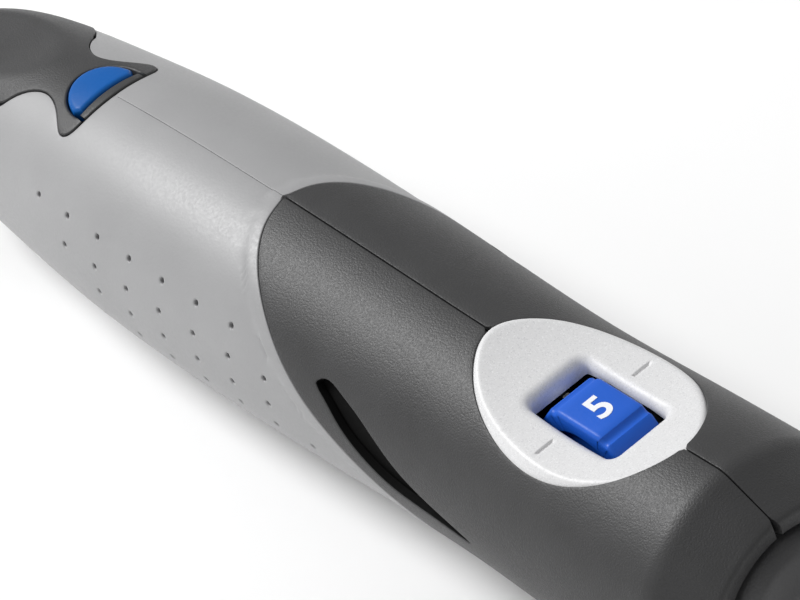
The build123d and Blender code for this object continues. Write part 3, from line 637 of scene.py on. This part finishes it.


def shade_liner_surface(p, drop):
    angle = p[:, 1] / UNROLL
    room = DISH_ROOM * smooth_step((p[:, 0] - 133.0) / 5.0) * smooth_step((1.1 - angle) / 0.35)
    return around(p[:, 0], angle, belly(angle, radius(p[:, 0])) - SHADE_LINER_TOP - room - drop)


SHADE_LINER_FROM, SHADE_LINER_TO = 1.3, SHELL_END - 1.5
SHADE_LINER_OFF_BEZEL = 0.3
shade_liner_trims = [Trim(lambda p: np.minimum(p[:, 0] - SHADE_LINER_FROM, SHADE_LINER_TO - p[:, 0]), 0.0),
                 Trim(lambda p: -in_bezel(p) - SHADE_LINER_OFF_BEZEL, 0.0), Trim(outside(in_well), 0.0)]
shade_liner_us = lines(1.0, SHELL_END - 1.0, 1.4)
shade_liner_vs = lines(0.0, HALF_TURN, 1.2)
build_half("shade_liner_left", shade_liner_us, shade_liner_vs, shade_liner_trims, shade_liner_surface, SHADE_LINER_DEPTH, 1,
           painted_shade_black, ["housing_left"], steps=2)
build_half("shade_liner_right", shade_liner_us, shade_liner_vs, shade_liner_trims + screw_trims(0, 1, 2, 3), shade_liner_surface,
           SHADE_LINER_DEPTH, -1, painted_shade_black, ["housing_right"], steps=2)

# ---- grips -----------------------------------------------------------------------------------------------
GRIP_SEAM = 0.10
GRIP_DEPTH = 1.15
RIM_ROUND = 0.5
EDGE_ROUND_REAR, BEZEL_EDGE_ROUND, VENT_ROUND, GRIP_SEAM_ROUND = 0.15, 0.12, 0.18, 0.07
BEZEL_GAP = 0.04
TAIL_OPENING, TAIL_FACE = 10.6, 2.2


def grip_surface(p, drop):
    """The rear grip; at the tail rim it reaches in to the tail opening."""
    angle = p[:, 1] / UNROLL
    r = radius(p[:, 0])
    reach = np.where(p[:, 0] < TAIL_FACE, np.maximum(r - TAIL_OPENING, GRIP_DEPTH), GRIP_DEPTH)
    return around(p[:, 0], angle, belly(angle, r) - np.where(drop >= GRIP_DEPTH, reach, drop))


# The vent's walls take the near-black second material: painted shade inside the vent.
rear_trims = [Trim(lambda p: in_rear(p) - GAP, EDGE_ROUND_REAR), Trim(lambda p: p[:, 0], RIM_ROUND),
              Trim(lambda p: -in_bezel(p) - BEZEL_GAP, BEZEL_EDGE_ROUND),
              Trim(outside(in_vent), VENT_ROUND, dark=True), Trim(off_seams(GRIP_SEAM), GRIP_SEAM_ROUND)]
rear_us = np.unique(np.concatenate([lines(0.0, 12.0, 0.4), lines(12.0, 86.0, 0.75)]))
rear_vs = lines(0.0, HALF_TURN, 0.65)
build_half("rear_grip_shell_left", rear_us, rear_vs, rear_trims, grip_surface, GRIP_DEPTH, 1, grip_rubber,
           ["rear_grip_left"], second=painted_shade_black)
build_half("rear_grip_shell_right", rear_us, rear_vs, rear_trims + screw_trims(0), grip_surface,
           GRIP_DEPTH, -1, grip_rubber, ["rear_grip_right"], second=painted_shade_black)

DISH = [(136.5, 14.8), (142.0, 13.35), (148.0, 12.1), (154.0, 11.1), (160.0, 10.3), (163.5, 9.9)]
DISH_FROM, DISH_BLEND = 136.0, 0.35
TOP_SIDE = 0.2        # cosine of the angle from the top past which the dish cannot reach
dish_height = natural_spline(*zip(*DISH))


def soft_minimum(a, b, blend):
    """The smaller of two heights, with a soft change between them."""
    t = np.clip(0.5 + (a - b) / (2 * blend), 0, 1)
    return a * (1 - t) + b * t - blend * t * (1 - t)


def front_surface(p, drop):
    """The nose grip, with a shallow finger dish blended into its top."""
    angle = p[:, 1] / UNROLL
    outer = radius(p[:, 0])
    height = outer * np.cos(angle)
    ceiling = dish_height(np.maximum(p[:, 0], DISH_FROM))
    lower = np.minimum(soft_minimum(height, ceiling, DISH_BLEND), height)
    dished = np.where(p[:, 0] > DISH_FROM, lower, height)
    r = np.where(np.cos(angle) > TOP_SIDE, dished / np.maximum(np.cos(angle), TOP_SIDE), outer)
    return around(p[:, 0], angle, belly(angle, r) - drop)


def front_mirror(distance):
    """The same distance on both sides of the top line."""
    return lambda p: distance(np.stack([p[:, 0], np.abs(p[:, 1])], 1))


FRONT_EDGE_ROUND, WELL_ROUND, NOSE_ROUND, FRONT_DEPTH = 0.22, 0.3, 0.45, 1.2
front_trims = [Trim(front_mirror(lambda p: in_front(p) - GAP), FRONT_EDGE_ROUND),
               Trim(front_mirror(outside(in_well)), WELL_ROUND),
               Trim(lambda p: SHELL_END - p[:, 0], NOSE_ROUND)]
front_us = lines(120.0, SHELL_END, 0.6)
front_vs = lines(-HALF_TURN, HALF_TURN, 0.6)
verts, faces, _ = trimmed_skin(front_us, front_vs, front_trims, front_surface, FRONT_DEPTH)
make_object("front_grip_shell", verts, faces, "housing", grip_rubber,
            ["front_grip_left", "front_grip_right"])

# ---- dial bezel ------------------------------------------------------------------------------------------
BEZEL_RISE = 0.5
BEZEL_WALL = 2.6
WINDOW_MIDDLE = 29.2
WINDOW_HALF = (7.3, 4.35)
WINDOW_CORNER = 1.1
BEZEL_ROUND, WINDOW_ROUND, SCOOP_BLEND = 0.95, 1.25, 0.25
DIAL_SWEEP = 10.3     # the bezel's underside keeps out of this circle round the dial's axis
INDEX_STATION, INDEX_HALF, INDEX_FROM, INDEX_TO, INDEX_DEPTH = 29.8, 0.25, 6.2, 8.9, 0.28
bezel_plan = inside_distance(smooth_curve(both_sides(BEZEL), 240, closed=True))


def window_distance(p):
    """Positive inside the rounded rectangle that the dial stands in."""
    q = np.abs(p - np.array([WINDOW_MIDDLE, 0.0])) - np.array(WINDOW_HALF) + WINDOW_CORNER
    return WINDOW_CORNER - (np.hypot(*np.maximum(q, 0).T) + np.minimum(q.max(1), 0))


def bezel_surface(p, drop):
    """The bezel's crown, scooped for the thumb, with the two index marks engraved in it."""
    station, y = p[:, 0], p[:, 1]
    crown = np.sqrt(np.maximum((radius(station) + BEZEL_RISE) ** 2 - y ** 2, 1.0))
    scoop = SCOOP_LOW + SCOOP_RADIUS - np.sqrt(SCOOP_RADIUS ** 2 - (station - DIAL_STATION) ** 2)
    height = soft_minimum(crown, scoop, SCOOP_BLEND)
    mark = (smooth_step((INDEX_HALF + 0.05 - np.abs(station - INDEX_STATION)) / 0.1)
            * smooth_step((np.abs(y) - INDEX_FROM) / 0.1) * smooth_step((INDEX_TO - np.abs(y)) / 0.1))
    beside = np.sqrt(np.maximum(DIAL_SWEEP ** 2 - (station - DIAL_STATION) ** 2, 0.0)) + DIAL_HEIGHT
    near_window = smooth_step((WINDOW_HALF[1] + 0.25 - np.abs(y)) / 0.6)
    lift = np.maximum(beside - (height - drop), 0.0) * near_window
    change = np.where(drop < BEZEL_WALL, -INDEX_DEPTH * mark, lift)
    return place(station, y, height - drop + change)


bezel_us = lines(13.0, 48.0, 0.35, [INDEX_STATION], 0.45, 0.09)
bezel_vs = lines(-12.0, 12.0, 0.35)
bezel_trims = [Trim(bezel_plan, BEZEL_ROUND), Trim(outside(window_distance), WINDOW_ROUND)]
verts, faces, _ = trimmed_skin(bezel_us, bezel_vs, bezel_trims, bezel_surface, BEZEL_WALL, 6)
make_object("dial_bezel_face", verts, faces, "housing", bezel_grey, ["dial_bezel"])

# ---- lock button -----------------------------------------------------------------------------------------
BUTTON_CROWN = 16.0       # radius of the button's top across the tool
BUTTON_LEAN, LEAN_FROM = 0.02, 2.0
BUTTON_ROUND, BUTTON_DEPTH = 0.7, 5.6
moon = inside_distance(half_moon(0.0))


def button_surface(p, drop):
    station, y = p[:, 0], p[:, 1]
    crown = BUTTON_CROWN - np.sqrt(BUTTON_CROWN ** 2 - y ** 2)
    lean = BUTTON_LEAN * np.maximum(station - BUTTON_STATION - LEAN_FROM, 0) ** 2
    return place(station, y, BUTTON_TOP - crown - lean - drop)


verts, faces, _ = trimmed_skin(lines(122.5, 129.5, 0.25), lines(-5.3, 5.3, 0.25),
                               [Trim(moon, BUTTON_ROUND)], button_surface, BUTTON_DEPTH, 6)
make_object("lock_button_cap", verts, faces, "lock_button", button_blue, ["lock_button"])


# ---- turned pieces ---------------------------------------------------------------------------------------
def rounded(points, steps=5):
    """A closed outline of (x, y, corner radius), with each corner turned into an arc."""
    out = []
    count = len(points)
    for k, (x, y, corner) in enumerate(points):
        here = np.array([x, y], float)
        if corner == 0:
            out.append(here)
            continue
        before = np.array(points[k - 1][:2], float) - here
        after = np.array(points[(k + 1) % count][:2], float) - here
        size_a, size_b = np.hypot(*before), np.hypot(*after)
        before, after = before / size_a, after / size_b
        half = math.acos(float(np.clip(before @ after, -1, 1))) / 2
        reach = min(corner / math.tan(half), size_a * 0.48, size_b * 0.48)
        r = reach * math.tan(half)
        middle = before + after
        centre = here + middle / np.hypot(*middle) * (r / math.sin(half))
        start, end = here + before * reach - centre, here + after * reach - centre
        for t in np.linspace(0, 1, steps + 1):
            arm = start * (1 - t) + end * t
            out.append(centre + arm / np.hypot(*arm) * r)
    return np.array(out)


def ring_faces(rings, count):
    """Quads between closed rings of count points each, the last ring joined to the first."""
    faces = []
    for k in range(rings):
        a, b = k * count, ((k + 1) % rings) * count
        faces += [[a + i, a + (i + 1) % count, b + (i + 1) % count, b + i] for i in range(count)]
    return faces


def lathe(name, outline, material, replaced, segments=160):
    """Turn a closed outline of stations and radii about the tool's axis."""
    turns = np.linspace(0, 2 * math.pi, segments, endpoint=False)
    verts = np.concatenate([around(outline[:, 0], t, outline[:, 1]) for t in turns])
    return make_object(name, verts, ring_faces(segments, len(outline)), "housing", material, replaced)


TAIL_CAP = [(-4.8, 4.6, 0.0), (-5.2, 5.0, 0.3), (-5.15, 5.8, 0.9), (-4.5, 7.4, 4.0), (-2.9, 8.7, 4.0),
            (0.3, 9.4, 1.5), (2.3, 9.4, 0.0), (2.3, 11.35, 0.2), (4.1, 11.35, 0.2), (4.1, 4.15, 0.0),
            (-0.4, 4.15, 0.1), (-0.4, 4.6, 0.0)]
NOSE_RING = [(163.72, 7.6, 0.1), (163.72, 8.85, 0.25), (165.4, 8.88, 3.0), (168.0, 8.7, 6.0),
             (172.6, 7.6, 2.0), (174.0, 6.6, 0.4), (174.0, 5.35, 0.25), (169.2, 5.35, 0.0), (169.2, 7.6, 0.0)]
lathe("tail_cap_dome", rounded(TAIL_CAP, 6), tail_grey, ["tail_cap"])
lathe("nose_ring_turned", rounded(NOSE_RING, 6), nose_grey, ["nose_ring"])

# ---- screw wells on the right side -----------------------------------------------------------------------
WELL_SEAT, WELL_FLOOR = -4.5, 1.2       # Y of the heads' seats, and the thickness behind them
WELL_HOLE, WELL_INNER, WELL_OUTER = 1.15, 2.2, 2.7
WELL_SINK = 1.6       # the wells end this far under the shell
WELL_SEGMENTS = 48
for k, (station, height) in enumerate(SCREWS):
    outer_y = -math.sqrt(float(radius(station)) ** 2 - height ** 2) + WELL_SINK
    back_y = WELL_SEAT + WELL_FLOOR
    well = rounded([(WELL_SEAT, WELL_HOLE, 0), (WELL_SEAT, WELL_INNER, 0.1), (outer_y, WELL_INNER, 0),
                    (outer_y, WELL_OUTER, 0), (back_y, WELL_OUTER, 0), (back_y, WELL_HOLE, 0)])
    turns = np.linspace(0, 2 * math.pi, WELL_SEGMENTS, endpoint=False)
    verts = np.concatenate([place(station + well[:, 1] * math.cos(t), well[:, 0],
                                  height + well[:, 1] * math.sin(t)) for t in turns])
    make_object(f"screw_well_{k + 1}", verts, ring_faces(WELL_SEGMENTS, len(well)), "housing", moulded_black,
                ["housing_right"])

# ---- speed dial ------------------------------------------------------------------------------------------
FACET_TURN = 2 * math.pi / DIAL_FACETS
FACET_HEIGHT = DIAL_RADIUS * math.cos(math.pi / DIAL_FACETS)
NOTCH, NOTCH_CENTRE = 0.95, DIAL_RADIUS + 0.25
PAD_MARGIN = 0.3
EDGE_ROUND = 0.6
# The wheel's sides: radii, and how far each lies inside the rim's width
WHEEL_SIDE = ((7.4, 0.0), (6.9, 0.6), (3.4, 0.6), (3.1, 0.1), (1.55, 0.1))


def dial_outline():
    """One facet's share of the wheel's outline: its flat pad and the rounded notch after it."""
    corner_angle = math.pi / DIAL_FACETS
    centre = np.array([NOTCH_CENTRE * math.sin(corner_angle), NOTCH_CENTRE * math.cos(corner_angle)])
    drop = centre[1] - FACET_HEIGHT
    reach = math.sqrt(NOTCH ** 2 - drop ** 2)
    edge_x = centre[0] - reach
    pad = [(x, FACET_HEIGHT) for x in np.linspace(PAD_MARGIN - edge_x, edge_x - PAD_MARGIN, 9)]
    start = math.atan2(FACET_HEIGHT - centre[1], edge_x - centre[0])
    end = -math.pi - 2 * corner_angle - start
    arc = [centre + NOTCH * np.array([math.cos(a), math.sin(a)]) for a in np.linspace(start, end, 13)[1:-1]]
    return pad + [tuple(c) for c in arc]


one = dial_outline()
outline = []
for k in range(DIAL_FACETS):
    turn = k * FACET_TURN
    for x, y in one:
        outline.append((x * math.cos(turn) + y * math.sin(turn), -x * math.sin(turn) + y * math.cos(turn)))
outline = np.array(outline)
tangent = np.roll(outline, -1, axis=0) - np.roll(outline, 1, axis=0)
inward = np.stack([tangent[:, 1], -tangent[:, 0]], 1) / np.hypot(*tangent.T)[:, None]
angle_of = np.arctan2(outline[:, 0], outline[:, 1])
half_width = DIAL_WIDTH / 2
rings = []
for y_sign in (1, -1):
    side_rings = []
    for t in np.linspace(0, 0.5 * math.pi, 6):
        inset = EDGE_ROUND * (1 - math.cos(t))
        y = half_width - EDGE_ROUND * (1 - math.sin(t))
        side_rings.append((outline + inward * inset, y * y_sign))
    for r, recess in WHEEL_SIDE:
        ring = np.stack([np.sin(angle_of) * r, np.cos(angle_of) * r], 1)
        side_rings.append((ring, (half_width - recess) * y_sign))
    rings += side_rings[::-1] if y_sign > 0 else side_rings
verts = np.concatenate([place(DIAL_STATION + ring[:, 0], np.full(len(ring), y), DIAL_HEIGHT + ring[:, 1])
                        for ring, y in rings])
make_object("speed_dial_wheel", verts, ring_faces(len(rings), len(outline)), "speed_dial", dial_blue,
            ["speed_dial"])

# ---- dial numbers ----------------------------------------------------------------------------------------
NUMBERS = {0: "5", 1: "10", 2: "15", 3: "20", 4: "22", 6: "0"}     # by facet; one facet is bare
DIGIT_SIZE, DIGIT_BOLD, DIGIT_RISE = 5.3, 0.02, 0.05
for k, number in NUMBERS.items():
    text = bpy.data.curves.new(f"digits_{number}", "FONT")
    text.body = number
    text.size = DIGIT_SIZE
    text.offset = DIGIT_BOLD * DIGIT_SIZE
    text.extrude = DIGIT_RISE
    text.resolution_u = 6
    text.align_x, text.align_y = "CENTER", "CENTER"
    holder = bpy.data.objects.new(f"digits_{number}", text)
    bpy.context.scene.collection.objects.link(holder)
    bpy.context.view_layer.update()
    flat = bpy.data.meshes.new_from_object(holder.evaluated_get(bpy.context.evaluated_depsgraph_get()))
    bpy.data.objects.remove(holder)
    local = np.array([v.co[:] for v in flat.vertices])
    local[:, 0] -= (local[:, 0].min() + local[:, 0].max()) / 2
    local[:, 1] -= (local[:, 1].min() + local[:, 1].max()) / 2
    x, y, z = local[:, 1], -local[:, 0], FACET_HEIGHT + local[:, 2]
    turn = -k * FACET_TURN
    verts = place(DIAL_STATION + x * math.cos(turn) + z * math.sin(turn), y,
                  DIAL_HEIGHT - x * math.sin(turn) + z * math.cos(turn))
    faces = [list(polygon.vertices) for polygon in flat.polygons]
    make_object(f"dial_number_{number}", verts, faces, "speed_dial", ink_white, ["dial_numbers"],
                smooth=False)

# ---- floor, lights and camera ----------------------------------------------------------------------------
AZIMUTH, ELEVATION, ROLL = math.radians(-117.4895), math.radians(40.3427), math.radians(-19.0825)
DISTANCE, TARGET_STATION, SHIFT_Y = 527.509, 84.577, 9.214
back = Vector((math.sin(AZIMUTH) * math.cos(ELEVATION), -math.cos(AZIMUTH) * math.cos(ELEVATION),
               math.sin(ELEVATION)))
level = Vector((0, 0, 1)).cross(back).normalized()
rise = back.cross(level)
right = math.cos(ROLL) * level + math.sin(ROLL) * rise
up = -math.sin(ROLL) * level + math.cos(ROLL) * rise
eye = Vector((RIM_X + TARGET_STATION, 0, AXIS_Z)) + right * SHIFT_Y + back * DISTANCE
lens = bpy.data.cameras.new("camera")
lens.sensor_width, lens.lens = 36.0, 193.5
lens.clip_start, lens.clip_end = 0.01, 50.0
camera = bpy.data.objects.new("camera", lens)
camera.matrix_world = Matrix.Translation(eye * MM) @ Matrix((right, up, back)).transposed().to_4x4()
bpy.context.scene.collection.objects.link(camera)
bpy.context.scene.camera = camera

FLOOR_REACH = 6.0     # metres
floor_mesh = bpy.data.meshes.new("floor")
FLOOR_CORNERS = ((-1, -1), (1, -1), (1, 1), (-1, 1))
floor_mesh.from_pydata([(x * FLOOR_REACH, y * FLOOR_REACH, 0) for x, y in FLOOR_CORNERS], [], [(0, 1, 2, 3)])
floor = bpy.data.objects.new("floor", floor_mesh)
bpy.context.scene.collection.objects.link(floor)
floor_paint, _, floor_shader = nodes_of("floor_paint")
floor_shader.inputs["Base Color"].default_value = (0.92, 0.92, 0.92, 1)
floor_shader.inputs["Roughness"].default_value = 0.9
floor_mesh.materials.append(floor_paint)


def soft_light(name, position, size, power):
    """A disk of light that faces the tool; metres and watts."""
    light = bpy.data.lights.new(name, "AREA")
    light.shape, light.size, light.energy = "DISK", size, power
    lamp = bpy.data.objects.new(name, light)
    lamp.location = position
    lamp.rotation_euler = (-Vector(position)).to_track_quat("-Z", "Y").to_euler()
    bpy.context.scene.collection.objects.link(lamp)


soft_light("key", (0.60, 0.28, 0.78), 0.46, 9.6)
soft_light("fill_left", (-0.1, 1.1, 0.6), 0.8, 1.2)
soft_light("fill_right", (0.3, -1.0, 0.6), 0.8, 1.0)
sky = bpy.data.worlds.new("studio")
sky.use_nodes = True
sky.node_tree.nodes["Background"].inputs["Color"].default_value = (1, 1, 1, 1)
sky.node_tree.nodes["Background"].inputs["Strength"].default_value = 0.42
bpy.context.scene.world = sky
bpy.context.scene.view_settings.view_transform = "Standard"
